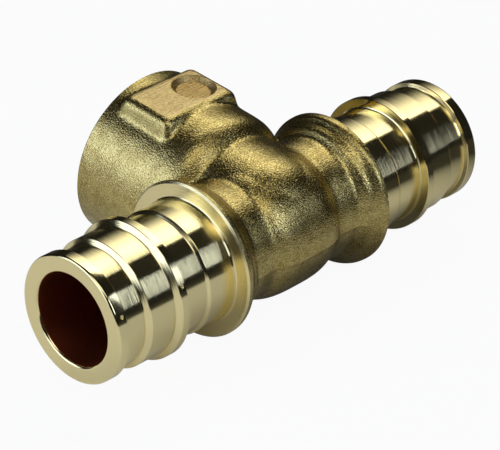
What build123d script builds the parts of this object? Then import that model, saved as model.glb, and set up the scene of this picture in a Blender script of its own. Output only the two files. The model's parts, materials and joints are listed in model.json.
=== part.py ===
from build123d import *
import os

# Forged and turned brass tee, one piece, in millimetres.
# +X runs along the straight run, +Y points out of the threaded branch and +Z is up.
# The origin is where the axes of the run and the branch cross.

# Spigots on the run: radii are the bore's plus a wall, places are measured from the mouth inwards
run_bore_radius = 7.5
spigot_length = 24.6
mouth_chamfer = 0.6
lip_radius = 0.45

rim_wall = 2.9
rim_width = 2.05
rim_shoulder = 0.35
first_barrel_wall = 2.15

first_ridge_place = 6.6
ridge_bevel = 0.5
second_barrel_wall = 2.98

rib_place = 11.5
rib_bevel = 0.6
rib_width = 1.4
rib_wall = 3.9
rib_root_radius = 0.25
third_barrel_wall = 2.28

second_ridge_place = 19.15
last_barrel_wall = 2.7

# Neck of the run and the bulge at its middle
neck_wall = 2.7
bulge_rise = 0.8
bulge_half_width = 7.2
bulge_blend_radius = 4.0

# Collar that stops the pipe, with its stepped forged back against the boss's side
collar_step = 2.65
collar_thickness = 2.2
collar_overlap = 0.3
collar_root_radius = 0.5
collar_edge_chamfer = 0.3
collar_back_radius = 0.55
bead_step = 1.55
bead_width = 1.9
bead_edge_radius = 0.5

# Rounded hub and the branch boss, each a step wider than what it grows from
hub_front_step = 0.3
hub_step = 1.85
hub_flare = 0.4
boss_start = 8.5
boss_wall_slope = 0.9
boss_step = 1.77
boss_draft = 0.18
branch_length = 27.3
boss_root_radius = 2.0
boss_edge_radius = 0.7
neck_seam_radius = 1.0
boss_mouth_chamfer = 0.35

# Branch: threaded socket and the port behind it
thread_drill_radius = 9.13
thread_depth = 16.0
thread_mouth_chamfer = 1.5
port_step = 1.93

# Flat pads above and below the boss, the upper one with a plain round recess
pad_rise = 0.2
pad_half_width = 7.4
pad_length = 9.75
pad_setback = 2.75
pad_corner_radius = 1.0
pad_draft = 22
pad_depth = 5.1
pad_edge_radius = 0.45
recess_radius = 3.5
recess_margin = 0.65
recess_depth = 0.8
recess_edge_radius = 0.2

# Radii that follow from the sizes above
rim_radius = run_bore_radius + rim_wall
first_barrel_radius = run_bore_radius + first_barrel_wall
second_barrel_radius = run_bore_radius + second_barrel_wall
rib_radius = run_bore_radius + rib_wall
third_barrel_radius = run_bore_radius + third_barrel_wall
last_barrel_radius = run_bore_radius + last_barrel_wall
neck_radius = run_bore_radius + neck_wall
bulge_radius = neck_radius + bulge_rise
bead_radius = neck_radius + bead_step
collar_radius = neck_radius + collar_step
hub_front = neck_radius + hub_front_step
hub_radius = neck_radius + hub_step
hub_back_radius = hub_radius + hub_flare
boss_start_radius = hub_back_radius + boss_step
boss_mouth_radius = boss_start_radius + boss_draft
port_radius = thread_drill_radius - port_step

# Places along the run, from the boss's side outwards
collar_back = boss_mouth_radius - collar_overlap
collar_face = collar_back + collar_thickness
bead_back = collar_back - bead_width
run_half_length = collar_face + spigot_length
first_ridge = run_half_length - first_ridge_place
rib_front = run_half_length - rib_place
rib_back = rib_front - rib_bevel - rib_width
second_ridge = run_half_length - second_ridge_place

# Places of the pads on the branch
pad_height = boss_mouth_radius + pad_rise
pad_middle = branch_length - pad_setback - pad_length / 2
recess_place_x = pad_half_width - recess_margin - recess_radius


def rings(solid, axis, place, radius):
    # Circular edges round the run or the branch axis, at one distance from the middle
    def is_wanted(edge):
        along = edge.arc_center.X if axis == Axis.X else edge.arc_center.Y
        return abs(abs(along) - place) < 0.001 and abs(edge.radius - radius) < 0.001
    return solid.edges().filter_by(GeomType.CIRCLE).filter_by(is_wanted)


# Body as forged: hub and branch boss about the branch axis, bulged neck about the run axis
with BuildPart() as tee_body:
    with BuildSketch(Plane.XY) as hub_outline:
        with BuildLine():
            Line((0, branch_length), (0, -hub_front))
            EllipticalCenterArc((0, 0), hub_radius, hub_front, start_angle=-90, arc_size=90)
            Polyline(
                (hub_radius, 0),
                (hub_back_radius, boss_start - boss_wall_slope),
                (boss_start_radius, boss_start),
                (boss_mouth_radius, branch_length),
                (0, branch_length),
            )
        make_face()
        boss_corner = hub_outline.vertices().sort_by_distance((boss_start_radius, boss_start))[0]
        fillet(boss_corner, boss_edge_radius)
        boss_root = hub_outline.vertices().sort_by_distance((hub_back_radius, boss_start - boss_wall_slope))[0]
        fillet(boss_root, boss_root_radius)
    revolve(axis=Axis.Y)
    with BuildSketch(Plane.XY) as neck_outline:
        with BuildLine():
            Polyline(
                (-bulge_half_width, neck_radius),
                (-collar_face, neck_radius),
                (-collar_face, 0),
                (collar_face, 0),
                (collar_face, neck_radius),
                (bulge_half_width, neck_radius),
            )
            ThreePointArc(
                (bulge_half_width, neck_radius),
                (0, bulge_radius),
                (-bulge_half_width, neck_radius),
            )
        make_face()
        bulge_ends = neck_outline.vertices().filter_by(lambda v: abs(abs(v.X) - bulge_half_width) < 0.001)
        fillet(bulge_ends, bulge_blend_radius)
    revolve(axis=Axis.X)
    fillet(tee_body.edges().filter_by(GeomType.BSPLINE), neck_seam_radius)
    chamfer(rings(tee_body.part, Axis.Y, branch_length, boss_mouth_radius), boss_mouth_chamfer)

# Pad: a drafted block sunk into the boss, then its twin below
with BuildPart() as pad:
    with BuildSketch(Plane.XY.offset(pad_height)) as pad_face:
        with Locations((0, pad_middle)):
            RectangleRounded(2 * pad_half_width, pad_length, pad_corner_radius)
    extrude(amount=-pad_depth, taper=-pad_draft)
    fillet(pad.faces().sort_by(Axis.Z)[-1].edges(), pad_edge_radius)
    mirror(about=Plane.XY)

# One half of the run beyond the body: collar and spigot, turned about the run axis
with BuildPart() as spigots:
    with BuildSketch(Plane.XY):
        with BuildLine():
            Polyline(
                (bead_back, 0),
                (bead_back, bead_radius),
                (collar_back, bead_radius),
                (collar_back, collar_radius),
                (collar_face, collar_radius),
                (collar_face, last_barrel_radius),
                (second_ridge, last_barrel_radius),
                (second_ridge + ridge_bevel, third_barrel_radius),
                (rib_back, third_barrel_radius),
                (rib_back, rib_radius),
                (rib_front - rib_bevel, rib_radius),
                (rib_front, second_barrel_radius),
                (first_ridge, second_barrel_radius),
                (first_ridge + ridge_bevel, first_barrel_radius),
                (run_half_length - rim_width - rim_shoulder, first_barrel_radius),
                (run_half_length - rim_width, rim_radius),
                (run_half_length, rim_radius),
                (run_half_length, 0),
                close=True,
            )
        make_face()
    revolve(axis=Axis.X)
    fillet(rings(spigots.part, Axis.X, run_half_length, rim_radius), lip_radius)
    fillet(rings(spigots.part, Axis.X, rib_back, third_barrel_radius), rib_root_radius)
    fillet(rings(spigots.part, Axis.X, collar_face, last_barrel_radius), collar_root_radius)
    chamfer(rings(spigots.part, Axis.X, collar_face, collar_radius), collar_edge_chamfer)
    fillet(rings(spigots.part, Axis.X, collar_back, collar_radius), collar_back_radius)
    fillet(rings(spigots.part, Axis.X, bead_back, bead_radius), bead_edge_radius)
    mirror(about=Plane.YZ)

# The tee: forged body, pads and spigots in one, then the turned and tapped openings
with BuildPart() as tee:
    add(tee_body)
    add(pad)
    add(spigots)
    with BuildSketch(Plane.YZ):
        Circle(run_bore_radius)
    extrude(amount=run_half_length, both=True, mode=Mode.SUBTRACT)
    chamfer(rings(tee.part, Axis.X, run_half_length, run_bore_radius), mouth_chamfer)
    with BuildSketch(Plane.XZ.offset(-branch_length)):
        Circle(thread_drill_radius)
    extrude(amount=thread_depth, mode=Mode.SUBTRACT)
    chamfer(rings(tee.part, Axis.Y, branch_length, thread_drill_radius), thread_mouth_chamfer)
    with BuildSketch(Plane.XZ.offset(thread_depth - branch_length)):
        Circle(port_radius)
    extrude(amount=branch_length - thread_depth, mode=Mode.SUBTRACT)
    with BuildSketch(Plane.XY.offset(pad_height)):
        with Locations((recess_place_x, pad_middle)):
            Circle(recess_radius)
    extrude(amount=-recess_depth, mode=Mode.SUBTRACT)
    recess_rim = tee.edges().filter_by(GeomType.CIRCLE).group_by(Axis.Z)[-1]
    fillet(recess_rim, recess_edge_radius)
tee.part.label = "tee_body"

os.makedirs("parts", exist_ok=True)
export_step(tee.part, "parts/tee_body.step")
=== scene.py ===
import json
import math
import bpy
from mathutils import Matrix, Vector

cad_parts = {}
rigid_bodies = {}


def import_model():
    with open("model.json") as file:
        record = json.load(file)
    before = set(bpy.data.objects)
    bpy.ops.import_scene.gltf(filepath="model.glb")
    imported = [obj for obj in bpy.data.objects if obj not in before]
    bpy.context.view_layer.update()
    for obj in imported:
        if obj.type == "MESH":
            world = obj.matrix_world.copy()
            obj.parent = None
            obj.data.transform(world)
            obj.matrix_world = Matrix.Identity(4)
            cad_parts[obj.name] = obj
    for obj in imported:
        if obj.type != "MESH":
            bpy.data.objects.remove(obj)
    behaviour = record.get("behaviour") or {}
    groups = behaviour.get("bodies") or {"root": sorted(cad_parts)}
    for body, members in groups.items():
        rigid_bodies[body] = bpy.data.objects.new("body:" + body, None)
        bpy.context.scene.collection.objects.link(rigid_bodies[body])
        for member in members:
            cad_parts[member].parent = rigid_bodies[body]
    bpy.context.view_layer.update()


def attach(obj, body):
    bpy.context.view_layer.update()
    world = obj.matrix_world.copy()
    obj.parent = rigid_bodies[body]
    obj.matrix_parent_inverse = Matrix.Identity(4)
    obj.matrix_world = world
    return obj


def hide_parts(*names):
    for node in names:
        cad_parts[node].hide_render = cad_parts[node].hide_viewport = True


# Forged brass tee with turned spigots, seen a little from above with its near spigot at the lower left.
# X runs along the straight run, Y points out of the threaded branch and Z is up.
# The frame is in metres, and the sizes in the dictionaries and outlines below are in millimetres.
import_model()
mm = 0.001
mergeGap = 0.002 * mm  # points closer than this are merged


def deselect():
    if bpy.context.object and bpy.context.object.mode != "OBJECT":
        bpy.ops.object.mode_set(mode="OBJECT")
    bpy.ops.object.select_all(action="DESELECT")


def pick(piece):
    deselect()
    piece.select_set(True)
    bpy.context.view_layer.objects.active = piece


def applyModifier(piece, kind, **settings):
    pick(piece)
    modifier = piece.modifiers.new(kind.title(), kind)
    for key, value in settings.items():
        setattr(modifier, key, value)
    bpy.ops.object.modifier_apply(modifier=modifier.name)


def cut(piece, cutter):
    # The cut faces take the cutter's materials
    applyModifier(piece, "BOOLEAN", operation="DIFFERENCE", object=cutter, solver="EXACT",
                  material_mode="TRANSFER")
    bpy.data.objects.remove(cutter)


def arc(place, radius, size, start, end):
    # Points of a rounded corner, ten degrees apart, from its centre, its size and its two end angles
    steps = abs(end - start) // 10
    angles = [math.radians(start + (end - start) * n / steps) for n in range(steps + 1)]
    return [(place + size * math.cos(a), radius + size * math.sin(a)) for a in angles]


def drawOutline(name, outline, axis):
    # One vertex is drawn along the outline: places along the axis, and distances from it
    deselect()
    bpy.ops.mesh.primitive_plane_add(size=mm)
    piece = bpy.context.object
    piece.name = name
    bpy.ops.object.mode_set(mode="EDIT")
    bpy.ops.mesh.select_all(action="SELECT")
    bpy.ops.mesh.merge(type="CENTER")
    along, across = {"X": (0, 1), "Y": (1, 0), "Z": (2, 0)}[axis]
    last = Vector((0, 0, 0))
    for count, (place, radius) in enumerate(outline):
        point = Vector((0, 0, 0))
        point[along] = place * mm
        point[across] = radius * mm
        if count == 0:
            bpy.ops.transform.translate(value=point)
        else:
            bpy.ops.mesh.extrude_vertices_move(TRANSFORM_OT_translate={"value": point - last})
        last = point
    bpy.ops.object.mode_set(mode="OBJECT")
    return piece


def turn(name, outline, axis, steps, shift=(0, 0, 0)):
    # The outline is spun about the run (X), the branch (Y) or an upright (Z)
    piece = drawOutline(name, outline, axis)
    bpy.ops.object.mode_set(mode="EDIT")
    bpy.ops.mesh.select_all(action="SELECT")
    direction = [float(letter == axis) for letter in "XYZ"]
    bpy.ops.mesh.spin(steps=steps, angle=math.tau, center=(0, 0, 0), axis=direction)
    bpy.ops.mesh.select_all(action="SELECT")
    bpy.ops.mesh.remove_doubles(threshold=mergeGap)
    bpy.ops.mesh.normals_make_consistent(inside=False)
    bpy.ops.transform.translate(value=[v * mm for v in shift])
    bpy.ops.object.mode_set(mode="OBJECT")
    return piece


# Camera, solved from the round rims, the collars and the boss
cameraFacts = {
    "lens": 179.35, "sensor": 36, "nearest": 10,
    "place": (-250.48, -211.34, 216.08),
    "right": (0.68814, -0.72062, 0.08475),
    "up": (0.35160, 0.43335, 0.82984),
    "back": (-0.63471, -0.54124, 0.55156),
}
deselect()
bpy.ops.object.camera_add()
camera = bpy.context.object
camera.name = "camera"
camera.data.lens = cameraFacts["lens"]
camera.data.sensor_width = cameraFacts["sensor"]
camera.data.clip_start = cameraFacts["nearest"] * mm
columns = Matrix((cameraFacts["right"], cameraFacts["up"], cameraFacts["back"])).transposed()
camera.matrix_world = Matrix.Translation(Vector(cameraFacts["place"]) * mm) @ columns.to_4x4()
bpy.context.scene.camera = camera
print("camera placed")


# Materials
def colour(code):
    # sRGB hex to the linear values that the shader takes
    parts = [int(code[i:i + 2], 16) / 255 for i in (1, 3, 5)]
    return [p / 12.92 if p <= 0.04045 else ((p + 0.055) / 1.055) ** 2.4 for p in parts] + [1]


def addNode(tree, kind, settings=None, links=None):
    # A setting is an input, by its name or number, or else one of the node's own options
    node = tree.nodes.new(kind)
    for key, value in (settings or {}).items():
        if isinstance(key, int) or key in node.inputs:
            node.inputs[key].default_value = value
        else:
            setattr(node, key, value)
    for key, source in (links or {}).items():
        tree.links.new(source, node.inputs[key])
    return node


def newMaterial(name):
    material = bpy.data.materials.new(name)
    material.use_nodes = True
    tree = material.node_tree
    tree.nodes.clear()
    return material, tree


forgedFinish = {
    "light": "#D9C67E", "dark": "#9A8446", "lightAt": 0.96, "darkAt": 0.54, "roughness": 0.26,
    "grain": 0.25, "grainDepth": 0.07, "patch": 2.2, "patchShare": 0.5, "wave": 1.5, "waveDepth": 0.010,
}


def forgedBrass():
    # Hot forged brass, shot-blasted: a dull gold skin of fine pits, which breaks highlights into sparkle.
    # Real pits are 0.1 to 0.3 mm wide: the grain is near the coarse end of that, so that it shows
    material, tree = newMaterial("forgedBrass")
    f = forgedFinish
    place = addNode(tree, "ShaderNodeTexCoord").outputs["Object"]
    patches = addNode(tree, "ShaderNodeTexNoise", {"Scale": 1 / (f["patch"] * mm), "Detail": 3.0},
                      {"Vector": place})
    grain = addNode(tree, "ShaderNodeTexNoise", {"Scale": 1 / (f["grain"] * mm), "Detail": 1.0,
                    "Roughness": 0.6}, {"Vector": place})
    wave = addNode(tree, "ShaderNodeTexNoise", {"Scale": 1 / (f["wave"] * mm), "Detail": 1.0},
                   {"Vector": place})
    share = addNode(tree, "ShaderNodeMath", {"operation": "MULTIPLY", 1: f["patchShare"]},
                    {0: patches.outputs["Fac"]})
    both = addNode(tree, "ShaderNodeMath", {"operation": "ADD"},
                   {0: grain.outputs["Fac"], 1: share.outputs[0]})
    spread = addNode(tree, "ShaderNodeMapRange", {"From Min": f["darkAt"], "From Max": f["lightAt"]},
                     {"Value": both.outputs[0]})
    shade = addNode(tree, "ShaderNodeMix",
                    {"data_type": "RGBA", 6: colour(f["dark"]), 7: colour(f["light"])},
                    {0: spread.outputs["Result"]})
    waves = addNode(tree, "ShaderNodeBump", {"Strength": 1.0, "Distance": f["waveDepth"] * mm},
                    {"Height": wave.outputs["Fac"]})
    pits = addNode(tree, "ShaderNodeBump", {"Strength": 1.0, "Distance": f["grainDepth"] * mm},
                   {"Height": grain.outputs["Fac"], "Normal": waves.outputs["Normal"]})
    brass = addNode(tree, "ShaderNodeBsdfPrincipled", {"Metallic": 1.0, "Roughness": f["roughness"]},
                    {"Base Color": shade.outputs[2], "Normal": pits.outputs["Normal"]})
    addNode(tree, "ShaderNodeOutputMaterial", None, {"Surface": brass.outputs["BSDF"]})
    return material


# The recess's colours are a darker copy of the pad's: painted shade in the recess
stampedFinish = {
    "pad": ("#F0D794", "#CDB074"), "recess": ("#DABC78", "#A98C52"), "lightAt": 1.25, "darkAt": 0.75,
    "roughness": 0.44, "streak": 0.3, "streakLength": 2.4, "grain": 0.35, "depth": 0.07,
}


def stampedBrass(name, face):
    # Die-stamped face of a forging: flatter than the rest, duller and a little redder, with faint streaks
    material, tree = newMaterial(name)
    f = stampedFinish
    light, dark = f[face]
    fine = 1 / (f["streak"] * mm)
    coarse = 1 / (f["streakLength"] * mm)
    place = addNode(tree, "ShaderNodeTexCoord").outputs["Object"]
    stretch = addNode(tree, "ShaderNodeMapping", {"Scale": (coarse, fine, coarse)}, {"Vector": place})
    streaks = addNode(tree, "ShaderNodeTexNoise", {"Scale": 1.0, "Detail": 2.0},
                      {"Vector": stretch.outputs[0]})
    grain = addNode(tree, "ShaderNodeTexNoise", {"Scale": 1 / (f["grain"] * mm), "Detail": 1.0},
                    {"Vector": place})
    both = addNode(tree, "ShaderNodeMath", {"operation": "ADD"},
                   {0: streaks.outputs["Fac"], 1: grain.outputs["Fac"]})
    spread = addNode(tree, "ShaderNodeMapRange", {"From Min": f["darkAt"], "From Max": f["lightAt"]},
                     {"Value": both.outputs[0]})
    shade = addNode(tree, "ShaderNodeMix", {"data_type": "RGBA", 6: colour(dark), 7: colour(light)},
                    {0: spread.outputs["Result"]})
    bump = addNode(tree, "ShaderNodeBump", {"Strength": 1.0, "Distance": f["depth"] * mm},
                   {"Height": both.outputs[0]})
    brass = addNode(tree, "ShaderNodeBsdfPrincipled", {"Metallic": 1.0, "Roughness": f["roughness"]},
                    {"Base Color": shade.outputs[2], "Normal": bump.outputs["Normal"]})
    addNode(tree, "ShaderNodeOutputMaterial", None, {"Surface": brass.outputs["BSDF"]})
    return material


turnedFinish = {
    "colour": "#F3E2A4", "ring": 0.22,
    "barrel": {"roughness": 0.15, "anisotropy": 0.75, "depth": 0.016},
    "crest": {"roughness": 0.10, "anisotropy": 0.2, "depth": 0.003},
    "collar": {"roughness": 0.26, "anisotropy": 0.7, "depth": 0.03},
}


def turnedBrass(name, axis, place):
    # Free-cutting brass off the lathe: bright, with fine rings that draw reflections out across the cut.
    # Real rings are about 0.1 mm wide: they are drawn twice as coarse, so that they show
    material, tree = newMaterial(name)
    f = turnedFinish[place]
    coordinates = addNode(tree, "ShaderNodeTexCoord")
    point = coordinates.outputs["Object"]
    spindle = addNode(tree, "ShaderNodeCombineXYZ", {"X": float(axis == "X"), "Y": float(axis == "Y")})
    groove = addNode(tree, "ShaderNodeVectorMath", {"operation": "CROSS_PRODUCT"},
                     {0: spindle.outputs[0], 1: point})
    across = addNode(tree, "ShaderNodeVectorMath", {"operation": "CROSS_PRODUCT"},
                     {0: groove.outputs[0], 1: coordinates.outputs["Normal"]})
    tangent = addNode(tree, "ShaderNodeVectorMath", {"operation": "NORMALIZE"}, {0: across.outputs[0]})
    along = addNode(tree, "ShaderNodeVectorMath", {"operation": "DOT_PRODUCT"},
                    {0: spindle.outputs[0], 1: point})
    away = addNode(tree, "ShaderNodeVectorMath", {"operation": "LENGTH"}, {0: groove.outputs[0]})
    path = addNode(tree, "ShaderNodeMath", {"operation": "ADD"},
                   {0: along.outputs["Value"], 1: away.outputs["Value"]})
    rings = addNode(tree, "ShaderNodeTexNoise", {"noise_dimensions": "1D", "Detail": 2.0,
                    "Scale": 1 / (turnedFinish["ring"] * mm)}, {"W": path.outputs[0]})
    bump = addNode(tree, "ShaderNodeBump", {"Strength": 1.0, "Distance": f["depth"] * mm},
                   {"Height": rings.outputs["Fac"]})
    brass = addNode(tree, "ShaderNodeBsdfPrincipled", {"Metallic": 1.0, "Roughness": f["roughness"],
                    "Anisotropic": f["anisotropy"], "Base Color": colour(turnedFinish["colour"])},
                    {"Normal": bump.outputs["Normal"], "Tangent": tangent.outputs[0]})
    addNode(tree, "ShaderNodeOutputMaterial", None, {"Surface": brass.outputs["BSDF"]})
    return material


boreFinish = {"colour": "#B0623C", "roughness": 0.42}


def boredBrass():
    # Drilled bore, left with a film of coolant and oxide: red-brown and nearly unlit
    material, tree = newMaterial("boredBrass")
    f = boreFinish
    brass = addNode(tree, "ShaderNodeBsdfPrincipled",
                    {"Metallic": 1.0, "Roughness": f["roughness"], "Base Color": colour(f["colour"])})
    addNode(tree, "ShaderNodeOutputMaterial", None, {"Surface": brass.outputs["BSDF"]})
    return material


forged = forgedBrass()
stamped = stampedBrass("stampedBrass", "pad")
# The recess's copy of the pad's brass is darker: painted shade in the recess
recessShadedBrass = stampedBrass("recessBrassPaintedShade", "recess")
turned = turnedBrass("turnedRunBrass", "X", "barrel")
burnished = turnedBrass("burnishedRunBrass", "X", "crest")
faced = turnedBrass("facedCollarBrass", "X", "collar")
turnedMouth = turnedBrass("turnedBranchBrass", "Y", "barrel")
bored = boredBrass()
print("materials made")

# Forged blank: hub and boss about the branch axis, neck, collars and spigot stock about the run axis
blank = {
    "neck": 10.2, "bulge": 11.3, "bulgeHalf": 7.2, "bulgeSink": 0.12, "bulgePower": 3.6,
    "stock": 12.2, "stockEnd": 42.5, "hubFront": 10.5, "hubRadius": 12.05, "mouthRadius": 14.42,
    "mouthStock": 28.6, "steps": 128, "voxel": 0.28,
}
quarterTurn = [math.pi / 2 * n / 24 for n in range(25)]
hubFront = [(-blank["hubFront"] * math.cos(a), blank["hubRadius"] * math.sin(a)) for a in quarterTurn]
shoulder = [
    (3, 12.12), (5, 12.08), (6.25, 12.02), (6.7, 12.25), (7.2, 12.62), (7.75, 13.02), (8.35, 13.42),
    (9.0, 13.74), (9.8, 13.97), (11.0, 14.06), (14.0, 14.1), (17.0, 14.25),
]
mouth = [(blank["mouthStock"], blank["mouthRadius"]), (blank["mouthStock"], 0)]
hub = turn("hub", hubFront + shoulder + mouth, "Y", blank["steps"])

bulgeRise = blank["bulge"] - blank["neck"] + blank["bulgeSink"]
shares = [n / 12 for n in range(13)]
bulge = [(blank["bulgeHalf"] * t, blank["bulge"] - bulgeRise * t ** blank["bulgePower"]) for t in shares]
collarBack = [
    (7.5, 10.03), (8.0, 10.03), (9.0, 10.12), (10.0, 10.2), (11.5, 10.2),  # neck
    (12.0, 10.35), (12.4, 10.72), (12.75, 11.15), (13.1, 11.45), (13.6, 11.65), (14.1, 11.88),  # bead
    (14.5, 12.22), (14.85, 12.58), (15.2, 12.8), (15.5, 12.85), (17.2, 12.85),  # collar
]
stock = [(17.3, blank["stock"]), (blank["stockEnd"], blank["stock"])]
halfNeck = bulge + collarBack + stock
leftNeck = [(-x, r) for x, r in reversed(halfNeck)]
neckOutline = [(-blank["stockEnd"], 0)] + leftNeck + halfNeck[1:] + [(blank["stockEnd"], 0)]
neck = turn("neck", neckOutline, "X", blank["steps"])

# Two flat spanner pads on the boss, above and below
padSizes = {
    "top": 14.6, "foot": 9.5, "halfWidth": 7.75, "start": 14.5, "end": 24.75, "draft": 14,
    "corner": 1.3, "cornerSteps": 5, "edge": 0.35, "edgeSteps": 3,
}
padSlope = math.tan(math.radians(padSizes["draft"]))
padMiddle = (padSizes["start"] + padSizes["end"]) / 2
padReach = (padSizes["end"] - padSizes["start"]) / 2


def makePad(side):
    p = padSizes
    deselect()
    bpy.ops.mesh.primitive_cube_add(size=2)
    pad = bpy.context.object
    pad.name = "pad"
    bpy.ops.object.mode_set(mode="EDIT")
    bpy.ops.transform.resize(value=(p["halfWidth"] * mm, padReach * mm, (p["top"] - p["foot"]) / 2 * mm))
    bpy.ops.transform.translate(value=(0, padMiddle * mm, (p["top"] + p["foot"]) / 2 * mm))
    bpy.ops.mesh.select_all(action="DESELECT")
    bpy.ops.object.mode_set(mode="OBJECT")
    # The foot is wider than the top by the draft
    for vertex in pad.data.vertices:
        vertex.select = vertex.co.z < (p["top"] + p["foot"]) / 2 * mm
    grow = (p["top"] - p["foot"]) * padSlope
    spread = ((p["halfWidth"] + grow) / p["halfWidth"], (padReach + grow) / padReach, 1)
    bpy.ops.object.mode_set(mode="EDIT")
    bpy.ops.transform.resize(value=spread, center_override=(0, padMiddle * mm, p["foot"] * mm))
    bpy.ops.mesh.select_all(action="DESELECT")
    bpy.ops.object.mode_set(mode="OBJECT")
    # The four upright edges are rounded, then the edges of the top
    for edge in pad.data.edges:
        ends = [pad.data.vertices[v].co.z for v in edge.vertices]
        edge.select = abs(ends[0] - ends[1]) > mm
    bpy.ops.object.mode_set(mode="EDIT")
    bpy.ops.mesh.select_mode(type="EDGE")
    bpy.ops.mesh.bevel(offset=p["corner"] * mm, segments=p["cornerSteps"], affect="EDGES")
    bpy.ops.mesh.select_all(action="DESELECT")
    bpy.ops.object.mode_set(mode="OBJECT")
    for face in pad.data.polygons:
        face.select = face.normal.z > 0.9
    bpy.ops.object.mode_set(mode="EDIT")
    bpy.ops.mesh.select_mode(type="FACE")
    bpy.ops.mesh.bevel(offset=p["edge"] * mm, segments=p["edgeSteps"], affect="EDGES")
    bpy.ops.mesh.select_mode(type="VERT")
    bpy.ops.mesh.select_all(action="SELECT")
    if side < 0:
        bpy.ops.transform.mirror(constraint_axis=(False, False, True), center_override=(0, 0, 0))
        bpy.ops.mesh.normals_make_consistent(inside=False)
    bpy.ops.object.mode_set(mode="OBJECT")
    return pad


pads = [makePad(1), makePad(-1)]
deselect()
for piece in [neck, *pads, hub]:
    piece.select_set(True)
bpy.context.view_layer.objects.active = hub
bpy.ops.object.join()
tee = hub
tee.name = "threadedTee"
applyModifier(tee, "REMESH", mode="VOXEL", voxel_size=blank["voxel"] * mm, adaptivity=0)
print("blank remeshed", len(tee.data.vertices))

# Blends between the forged forms: each pair is where an effect is full and where none of it is left
blends = {
    "seam": (0.2, 1.0), "bend": (-0.7, -0.45), "collar": (12.0, 13.0), "shoulder": (6.0, 7.5),
    "saddle": (2.5, 6.0), "saddleShare": 0.75, "slopeStep": 0.1,
    "hubFlare": 0.07, "flareEnd": 5.6, "flareRadius": 12.5,
    "bossRadius": 14.15, "padFoot": (0.35, 1.2), "factor": 0.5, "seamPasses": 11, "allPasses": 4,
}


def fade(value, near, far):
    return max(0.0, min(1.0, (far - value) / (far - near)))


def hubRadiusAt(y):
    # Near enough to find where the hub meets the neck
    if y < 0:
        return blank["hubRadius"] * math.sqrt(max(0.0, 1 - (y / blank["hubFront"]) ** 2))
    if y < blends["flareEnd"]:
        return blank["hubRadius"] + blends["hubFlare"] * y
    return blends["flareRadius"]


def seamWeight(x, y, z):
    # Strongest where hub and neck cross at a sharp angle, and weak over the saddle in the middle
    b = blends
    radius = hubRadiusAt(y)
    toHub = math.hypot(x, z) - radius
    toNeck = math.hypot(y, z) - blank["neck"]
    slope = (hubRadiusAt(y + b["slopeStep"]) - hubRadiusAt(y - b["slopeStep"])) / (2 * b["slopeStep"])
    outHub = Vector((x, -slope * radius, z)).normalized()
    bend = outHub.angle(Vector((0, y, z)).normalized(), 0)
    onSeam = fade(max(abs(toHub), abs(toNeck)), *b["seam"])
    weight = onSeam * fade(-bend, *b["bend"]) * fade(abs(x), *b["collar"])
    return weight * fade(y, *b["shoulder"]) * (1 - b["saddleShare"] * fade(abs(x), *b["saddle"]))


def padFootWeight(x, y, z):
    p = padSizes
    beside = max(abs(x) - p["halfWidth"], abs(y - padMiddle) - padReach) - (p["top"] - abs(z)) * padSlope
    onBoss = fade(abs(math.hypot(x, z) - blends["bossRadius"]), *blends["padFoot"])
    return onBoss * fade(abs(beside), *blends["padFoot"])


valley = tee.vertex_groups.new(name="valley")
general = tee.vertex_groups.new(name="general")
for vertex in tee.data.vertices:
    x, y, z = [c / mm for c in vertex.co]
    weight = max(seamWeight(x, y, z), padFootWeight(x, y, z))
    if weight > 0:
        valley.add([vertex.index], weight, "REPLACE")
    general.add([vertex.index], 1.0, "REPLACE")
for group, passes in (("valley", blends["seamPasses"]), ("general", blends["allPasses"])):
    applyModifier(tee, "SMOOTH", factor=blends["factor"], iterations=passes, vertex_group=group)

# Parting line of the two dies, a thin raised line round the middle, on sides that slope away from it
lineSizes = {"half": 0.16, "rise": 0.06, "draftHalf": 3.2, "draftRise": 0.16, "collar": (13.4, 14.4)}
outward = [vertex.normal.copy() for vertex in tee.data.vertices]
for vertex, normal in zip(tee.data.vertices, outward):
    height = abs(vertex.co.z) / mm
    lift = lineSizes["rise"] if height < lineSizes["half"] else 0
    lift += lineSizes["draftRise"] * max(0, 1 - height / lineSizes["draftHalf"])
    vertex.co += normal * lift * fade(abs(vertex.co.x) / mm, *lineSizes["collar"]) * mm
print("blends smoothed")

# Turning: one cutter about the run takes off all outside both spigots and opens the bore
toolSizes = {"radius": 20, "runEnd": 44.5, "runSteps": 160, "branchEnd": 31, "branchSteps": 192}
spigotOutline = [
    (15.95, toolSizes["radius"]), (15.95, 12.93), (16.22, 12.62), (16.3, 12.5),  # collar's edge
    (16.3, 10.72), (16.36, 10.47), (16.5, 10.3), (16.8, 10.2),  # collar's face and its root
    (21.66, 10.2), (21.76, 10.16), (22.05, 9.93), (22.14, 9.84), (22.26, 9.78),  # second ridge
    (27.1, 9.78), (27.28, 9.83), (27.4, 10.03), (27.4, 11.32), (27.48, 11.4),  # back of the rib
    (28.74, 11.4), (28.84, 11.34), (29.32, 10.62), (29.4, 10.53), (29.52, 10.48),  # front of the rib
    (34.2, 10.48), (34.3, 10.42), (34.7, 9.81), (34.78, 9.71), (34.9, 9.65),  # first ridge
    (38.4, 9.65), (38.54, 9.71), (38.76, 10.32), (38.86, 10.4),  # rim
    *arc(40.45, 9.95, 0.45, 90, 0),  # lip
    *arc(40.3, 8.1, 0.6, 0, -90),  # inner edge of the mouth
]
rightCut = [(toolSizes["runEnd"], 0), (toolSizes["runEnd"], toolSizes["radius"])] + spigotOutline
leftCut = [(-x, r) for x, r in reversed(rightCut)]
runCutter = turn("runCutter", rightCut + leftCut, "X", toolSizes["runSteps"])

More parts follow.
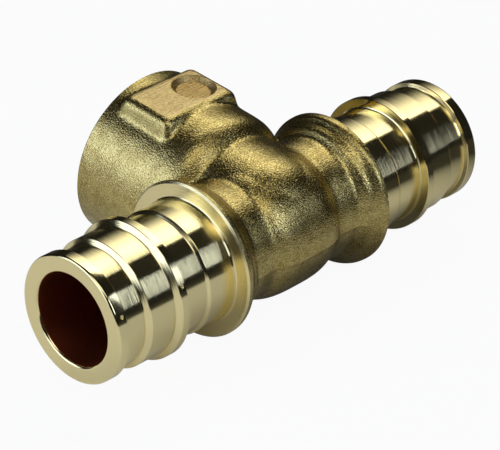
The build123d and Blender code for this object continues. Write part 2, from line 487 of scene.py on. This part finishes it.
# Which cut gives which finish: places along the run, and distances from its axis
cutPlaces = {
    "bore": 7.55, "collar": 16.35, "rim": (38.7, 40.85), "rimAway": 10.15,
    "rib": (27.3, 28.8), "ribAway": 11.3,
}
runFinishes = [turned, bored, burnished, faced]
for material in runFinishes:
    runCutter.data.materials.append(material)
for face in runCutter.data.polygons:
    points = [runCutter.data.vertices[v].co / mm for v in face.vertices]
    away = max(math.hypot(p.y, p.z) for p in points)
    place = min(abs(p.x) for p in points)
    onRim = cutPlaces["rim"][0] < place < cutPlaces["rim"][1] and away > cutPlaces["rimAway"]
    onRib = cutPlaces["rib"][0] < place < cutPlaces["rib"][1] and away > cutPlaces["ribAway"]
    if away < cutPlaces["bore"]:
        face.material_index = runFinishes.index(bored)
    elif onRim or onRib:
        face.material_index = runFinishes.index(burnished)
    elif place < cutPlaces["collar"]:
        face.material_index = runFinishes.index(faced)

# Facing, drilling and chamfering of the branch
branchLength = 27.3
branchOutline = [
    (0, 0), (0, 7.2), (11.2, 7.2), (11.3, 7.3),  # port
    (11.3, 9.0), (11.4, 9.13), (25.8, 9.13),  # drilled socket
    (branchLength, 10.63), (branchLength, 14.07),  # chamfer and face of the mouth
    (26.92, 14.45), (26.92, toolSizes["radius"]),  # outer edge
    (toolSizes["branchEnd"], toolSizes["radius"]), (toolSizes["branchEnd"], 0),
]
branchCutter = turn("branchCutter", branchOutline, "Y", toolSizes["branchSteps"])
branchCutter.data.materials.append(turnedMouth)

# Thread: a tapered male form, 14 threads to the inch, which cuts the socket's wall
threadSizes = {
    "pitch": 1.8143, "root": 9.06, "height": 1.44, "start": 11.8, "end": 29.5, "fadeLength": 3.2,
    "taper": 1 / 32, "steps": 96, "spareTurns": 4,
}
t = threadSizes
crest = t["root"] + t["height"]
tooth = [
    (0, t["root"]), (0.1, t["root"]), (0.86, crest), (0.96, crest), (1.72, t["root"]),
    (t["pitch"], t["root"]),
]
thread = drawOutline("threadCutter", [(t["start"] - 2 * t["pitch"] + y, r) for y, r in tooth], "Y")
turns = math.ceil((t["end"] - t["start"]) / t["pitch"]) + t["spareTurns"]
applyModifier(thread, "SCREW", axis="Y", angle=math.tau, screw_offset=t["pitch"] * mm, iterations=turns,
              steps=t["steps"], render_steps=t["steps"], use_merge_vertices=True, merge_threshold=mergeGap,
              use_smooth_shade=True)
pick(thread)
bpy.ops.object.mode_set(mode="EDIT")
bpy.ops.mesh.select_all(action="SELECT")
bpy.ops.mesh.remove_doubles(threshold=mergeGap)
for end, way in (("start", -1), ("end", 1)):
    bpy.ops.mesh.select_all(action="SELECT")
    bpy.ops.mesh.bisect(plane_co=(0, t[end] * mm, 0), plane_no=(0, way, 0), use_fill=True, clear_outer=True)
bpy.ops.mesh.select_all(action="SELECT")
bpy.ops.mesh.normals_make_consistent(inside=False)
bpy.ops.object.mode_set(mode="OBJECT")
# The thread gets shallower with the taper, and runs out towards the bottom of the socket
for vertex in thread.data.vertices:
    x, y, z = vertex.co
    radius = math.hypot(x, z) / mm
    depth = (branchLength - y / mm) * t["taper"]
    room = fade(-y / mm, -t["start"] - t["fadeLength"], -t["start"])
    wanted = t["root"] + max(0.0, radius - t["root"] - depth * (radius - t["root"]) / t["height"]) * room
    vertex.co.x *= wanted / radius
    vertex.co.z *= wanted / radius
thread.data.materials.append(turnedMouth)

# Round recess in the upper pad, left plain
recessSizes = {"place": (3.25, 19.675, 0), "floor": 13.6, "end": 15.5, "steps": 96}
recessOutline = [
    (recessSizes["floor"], 0), (recessSizes["floor"], 2.65), (13.66, 2.82), (13.8, 2.98),  # floor
    (14.32, 3.42), (14.52, 3.56), (14.62, 3.75),  # sloping wall and rounded edge
    (14.9, 4.1), (recessSizes["end"], 4.1), (recessSizes["end"], 0),
]
recessCutter = turn("recessCutter", recessOutline, "Z", recessSizes["steps"], recessSizes["place"])
recessCutter.data.materials.append(recessShadedBrass)

stampedFrom = 14.5  # all that lies further from the middle plane is a pad's face
tee.data.materials.clear()
tee.data.materials.append(forged)
tee.data.materials.append(stamped)
for face in tee.data.polygons:
    face.material_index = 1 if abs(face.center.z) > stampedFrom * mm else 0
for cutter in (recessCutter, runCutter, branchCutter, thread):
    name = cutter.name
    cut(tee, cutter)
    print(name, "cut, faces", len(tee.data.polygons))

# Nicks from handling, cut by small balls with their middles a little above the crest
nickStand = 0.55  # height of the middle above the crest, as a share of the ball's radius
nicks = [
    {"place": -39.6, "angle": 151, "crest": 10.4, "radius": 0.42},
    {"place": -28.1, "angle": 150, "crest": 11.4, "radius": 0.42},
    {"place": 15.95, "angle": 162, "crest": 12.85, "radius": 0.32},
    {"place": 15.95, "angle": 102, "crest": 12.85, "radius": 0.3},
]
for nick in nicks:
    angle = math.radians(nick["angle"])
    away = (nick["crest"] + nickStand * nick["radius"]) * mm
    spot = (nick["place"] * mm, away * math.cos(angle), away * math.sin(angle))
    deselect()
    bpy.ops.mesh.primitive_uv_sphere_add(segments=16, ring_count=10, radius=nick["radius"] * mm,
                                         location=spot)
    ball = bpy.context.object
    bpy.ops.object.transform_apply(location=True, rotation=True, scale=True)
    ball.data.materials.append(turned)
    cut(tee, ball)
print("nicks cut")

# Smooth shading, with sharp edges kept on all but the forged faces
sharpAngle = 14
pick(tee)
bpy.ops.object.shade_smooth()
bpy.ops.object.mode_set(mode="EDIT")
bpy.ops.mesh.select_mode(type="EDGE")
bpy.ops.mesh.select_all(action="DESELECT")
bpy.ops.mesh.edges_select_sharp(sharpness=math.radians(sharpAngle))
bpy.ops.mesh.mark_sharp()
bpy.ops.mesh.select_mode(type="FACE")
bpy.ops.mesh.select_all(action="DESELECT")
tee.active_material_index = 0
bpy.ops.object.material_slot_select()
bpy.ops.mesh.select_less()
bpy.ops.mesh.mark_sharp(clear=True)
bpy.ops.object.mode_set(mode="OBJECT")
print("faces", len(tee.data.polygons), "triangles", sum(len(f.vertices) - 2 for f in tee.data.polygons))
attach(tee, "root")
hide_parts("tee_body")

# Floor, tilted so that the tee rests on both collars and on the near edge of its lower pad
floorSizes = {"tilt": -6.4, "below": 12.87, "half": 1500}
deselect()
bpy.ops.mesh.primitive_plane_add(size=2 * floorSizes["half"] * mm)
floor = bpy.context.object
floor.name = "floor"
floor.rotation_euler.x = math.radians(floorSizes["tilt"])
normal = Matrix.Rotation(math.radians(floorSizes["tilt"]), 3, "X") @ Vector((0, 0, 1))
floor.location = -normal * floorSizes["below"] * mm

# What the metal sees of the floor is painted light and shade: dim, glow and fade pairs are where a change
# begins and where it ends
floorPaint = {
    "colour": "#EDECE8", "toCamera": 0.94, "dim": 0.035,
    "dimBehind": (28, 60), "dimRight": (38, 72), "behindFromLeft": (-45, 0),
    "shade": 0.75, "shadeMiddle": (12, -3), "shadeHalf": (26, 18), "shadeFade": (0.35, 1.3),
    "glow": 0.16, "paintedLightLeft": (-20, -45),
}


def paleFloor():
    # Matt pale card. The camera sees it nearly white, with the shadow kept. The metal sees it lit close by,
    # painted dim far behind and at the right, with a painted shadow under the tee's middle and painted
    # light at the left
    material, tree = newMaterial("paleFloor")
    f = floorPaint
    path = addNode(tree, "ShaderNodeLightPath")
    place = addNode(tree, "ShaderNodeTexCoord").outputs["Object"]
    split = addNode(tree, "ShaderNodeSeparateXYZ", None, {"Vector": place})
    paint = addNode(tree, "ShaderNodeBsdfDiffuse", {"Color": colour(f["colour"])})
    white = addNode(tree, "ShaderNodeEmission", {"Color": colour("#FFFFFF"), "Strength": 1.0})
    # Painted shade: a dim glow put in the floor's place for the metal, far behind and at the right
    dim = addNode(tree, "ShaderNodeEmission", {"Color": colour("#FFFFFF"), "Strength": f["dim"]})
    share = addNode(tree, "ShaderNodeMath", {"operation": "MULTIPLY", 1: f["toCamera"]},
                    {0: path.outputs["Is Camera Ray"]})
    toCamera = addNode(tree, "ShaderNodeMixShader", None,
                       {0: share.outputs[0], 1: paint.outputs[0], 2: white.outputs[0]})
    smooth = {"interpolation_type": "SMOOTHSTEP"}
    far = addNode(tree, "ShaderNodeMapRange", {**smooth, "From Min": f["dimBehind"][0] * mm,
                  "From Max": f["dimBehind"][1] * mm}, {"Value": split.outputs["Y"]})
    notLeft = addNode(tree, "ShaderNodeMapRange", {**smooth, "From Min": f["behindFromLeft"][0] * mm,
                      "From Max": f["behindFromLeft"][1] * mm}, {"Value": split.outputs["X"]})
    behind = addNode(tree, "ShaderNodeMath", {"operation": "MULTIPLY"},
                     {0: notLeft.outputs["Result"], 1: far.outputs["Result"]})
    right = addNode(tree, "ShaderNodeMapRange", {**smooth, "From Min": f["dimRight"][0] * mm,
                    "From Max": f["dimRight"][1] * mm}, {"Value": split.outputs["X"]})
    outer = addNode(tree, "ShaderNodeMath", {"operation": "MAXIMUM"},
                    {0: right.outputs["Result"], 1: behind.outputs[0]})
    away = addNode(tree, "ShaderNodeMath", {"operation": "MULTIPLY"},
                   {0: path.outputs["Is Glossy Ray"], 1: outer.outputs[0]})
    toMetal = addNode(tree, "ShaderNodeMixShader", None,
                      {0: away.outputs[0], 1: toCamera.outputs[0], 2: dim.outputs[0]})
    halfX, halfY = f["shadeHalf"]
    middleX, middleY = f["shadeMiddle"]
    # Painted shadow under the tee's middle, seen only by the metal
    under = addNode(tree, "ShaderNodeVectorMath", {"operation": "MULTIPLY_ADD",
                    1: (1 / (halfX * mm), 1 / (halfY * mm), 0), 2: (-middleX / halfX, -middleY / halfY, 0)},
                    {0: place})
    radius = addNode(tree, "ShaderNodeVectorMath", {"operation": "LENGTH"}, {0: under.outputs[0]})
    paintedShadow = addNode(tree, "ShaderNodeMapRange", {**smooth, "From Min": f["shadeFade"][0],
                   "From Max": f["shadeFade"][1], "To Min": f["shade"], "To Max": 0.0},
                   {"Value": radius.outputs["Value"]})
    paintedShadowShare = addNode(tree, "ShaderNodeMath", {"operation": "MULTIPLY"},
                     {0: path.outputs["Is Glossy Ray"], 1: paintedShadow.outputs["Result"]})
    withPaintedShadow = addNode(tree, "ShaderNodeMixShader", None,
                        {0: paintedShadowShare.outputs[0], 1: toMetal.outputs[0], 2: dim.outputs[0]})
    # Painted light: a glow towards the left, seen only by the metal
    left = addNode(tree, "ShaderNodeMapRange", {**smooth, "From Min": f["paintedLightLeft"][0] * mm,
                   "From Max": f["paintedLightLeft"][1] * mm, "To Min": 0.0, "To Max": f["glow"]},
                   {"Value": split.outputs["X"]})
    lift = addNode(tree, "ShaderNodeMath", {"operation": "MULTIPLY"},
                   {0: path.outputs["Is Glossy Ray"], 1: left.outputs["Result"]})
    glow = addNode(tree, "ShaderNodeEmission", {"Color": colour("#FFFFFF")}, {"Strength": lift.outputs[0]})
    total = addNode(tree, "ShaderNodeAddShader", None, {0: withPaintedShadow.outputs[0], 1: glow.outputs[0]})
    addNode(tree, "ShaderNodeOutputMaterial", None, {"Surface": total.outputs[0]})
    return material


floor.data.materials.append(paleFloor())
print("floor laid")

# Lamps: the level is what a mirror would show of the lamp's face, and 1 is white
lamps = {
    "backSoftbox": {"place": (317.5, 221.5, 316.5), "back": (0.635, 0.443, 0.633), "size": (440, 430),
                    "level": 1.0, "tint": "#FFFFFF"},
    "rightStrip": {"place": (262, -312.5, 227), "back": (0.45, -0.70, 0.52), "size": (50, 240),
                   "level": 1.9, "tint": "#CCDAFF"},
    "rightSoftbox": {"place": (60, -430, 307), "back": (0, -0.814, 0.581), "size": (180, 220),
                     "level": 3.4, "tint": "#CCDAFF"},
    "leftSoftbox": {"place": (-450, 180, 170), "back": (-0.90, 0.36, 0.33), "size": (600, 340),
                    "level": 2.0, "tint": "#CCDAFF"},
    "topSoftbox": {"place": (-170, -180, 540), "back": (-0.28, -0.30, 0.91), "size": (460, 280),
                   "level": 1.2, "tint": "#FFFFFF"},
}


def softbox(name, place, back, size, level, tint):
    width, height = [v * mm for v in size]
    deselect()
    bpy.ops.object.light_add(type="AREA", location=[v * mm for v in place])
    lamp = bpy.context.object
    lamp.name = name
    lamp.data.shape = "RECTANGLE"
    lamp.data.size = width
    lamp.data.size_y = height
    lamp.data.energy = 4 * width * height * level
    lamp.data.color = colour(tint)[:3]
    lamp.rotation_euler = Vector(back).to_track_quat("Z", "Y").to_euler()
    return lamp


softboxes = {name: softbox(name, **settings) for name, settings in lamps.items()}

# The back softbox is brighter towards its upper edge, as one with the bulb high behind the cloth
cloth = {"from": 0.05, "to": 0.95, "lower": 0.05, "upper": 1.95}
backLight = softboxes["backSoftbox"].data
backLight.use_nodes = True
tree = backLight.node_tree
tree.nodes.clear()
spot = addNode(tree, "ShaderNodeNewGeometry")
split = addNode(tree, "ShaderNodeSeparateXYZ", None, {"Vector": spot.outputs["Parametric"]})
level = addNode(tree, "ShaderNodeMapRange", {"From Min": cloth["from"], "From Max": cloth["to"],
                "To Min": cloth["lower"], "To Max": cloth["upper"], "interpolation_type": "SMOOTHSTEP"},
                {"Value": split.outputs["Y"]})
glow = addNode(tree, "ShaderNodeEmission", None, {"Strength": level.outputs["Result"]})
addNode(tree, "ShaderNodeOutputLight", None, {"Surface": glow.outputs[0]})

# Studio: white to the camera and nearly dark to the tee
darkness = 0.012
world = bpy.data.worlds.new("studio")
bpy.context.scene.world = world
world.use_nodes = True
tree = world.node_tree
tree.nodes.clear()
path = addNode(tree, "ShaderNodeLightPath")
dim = addNode(tree, "ShaderNodeBackground", {"Color": colour("#FFFFFF"), "Strength": darkness})
white = addNode(tree, "ShaderNodeBackground", {"Color": colour("#FFFFFF"), "Strength": 1.0})
mix = addNode(tree, "ShaderNodeMixShader", None,
              {0: path.outputs["Is Camera Ray"], 1: dim.outputs[0], 2: white.outputs[0]})
addNode(tree, "ShaderNodeOutputWorld", None, {"Surface": mix.outputs[0]})
print("lamps and world set")

bpy.context.scene.view_settings.view_transform = "Standard"
bpy.context.view_layer.update()
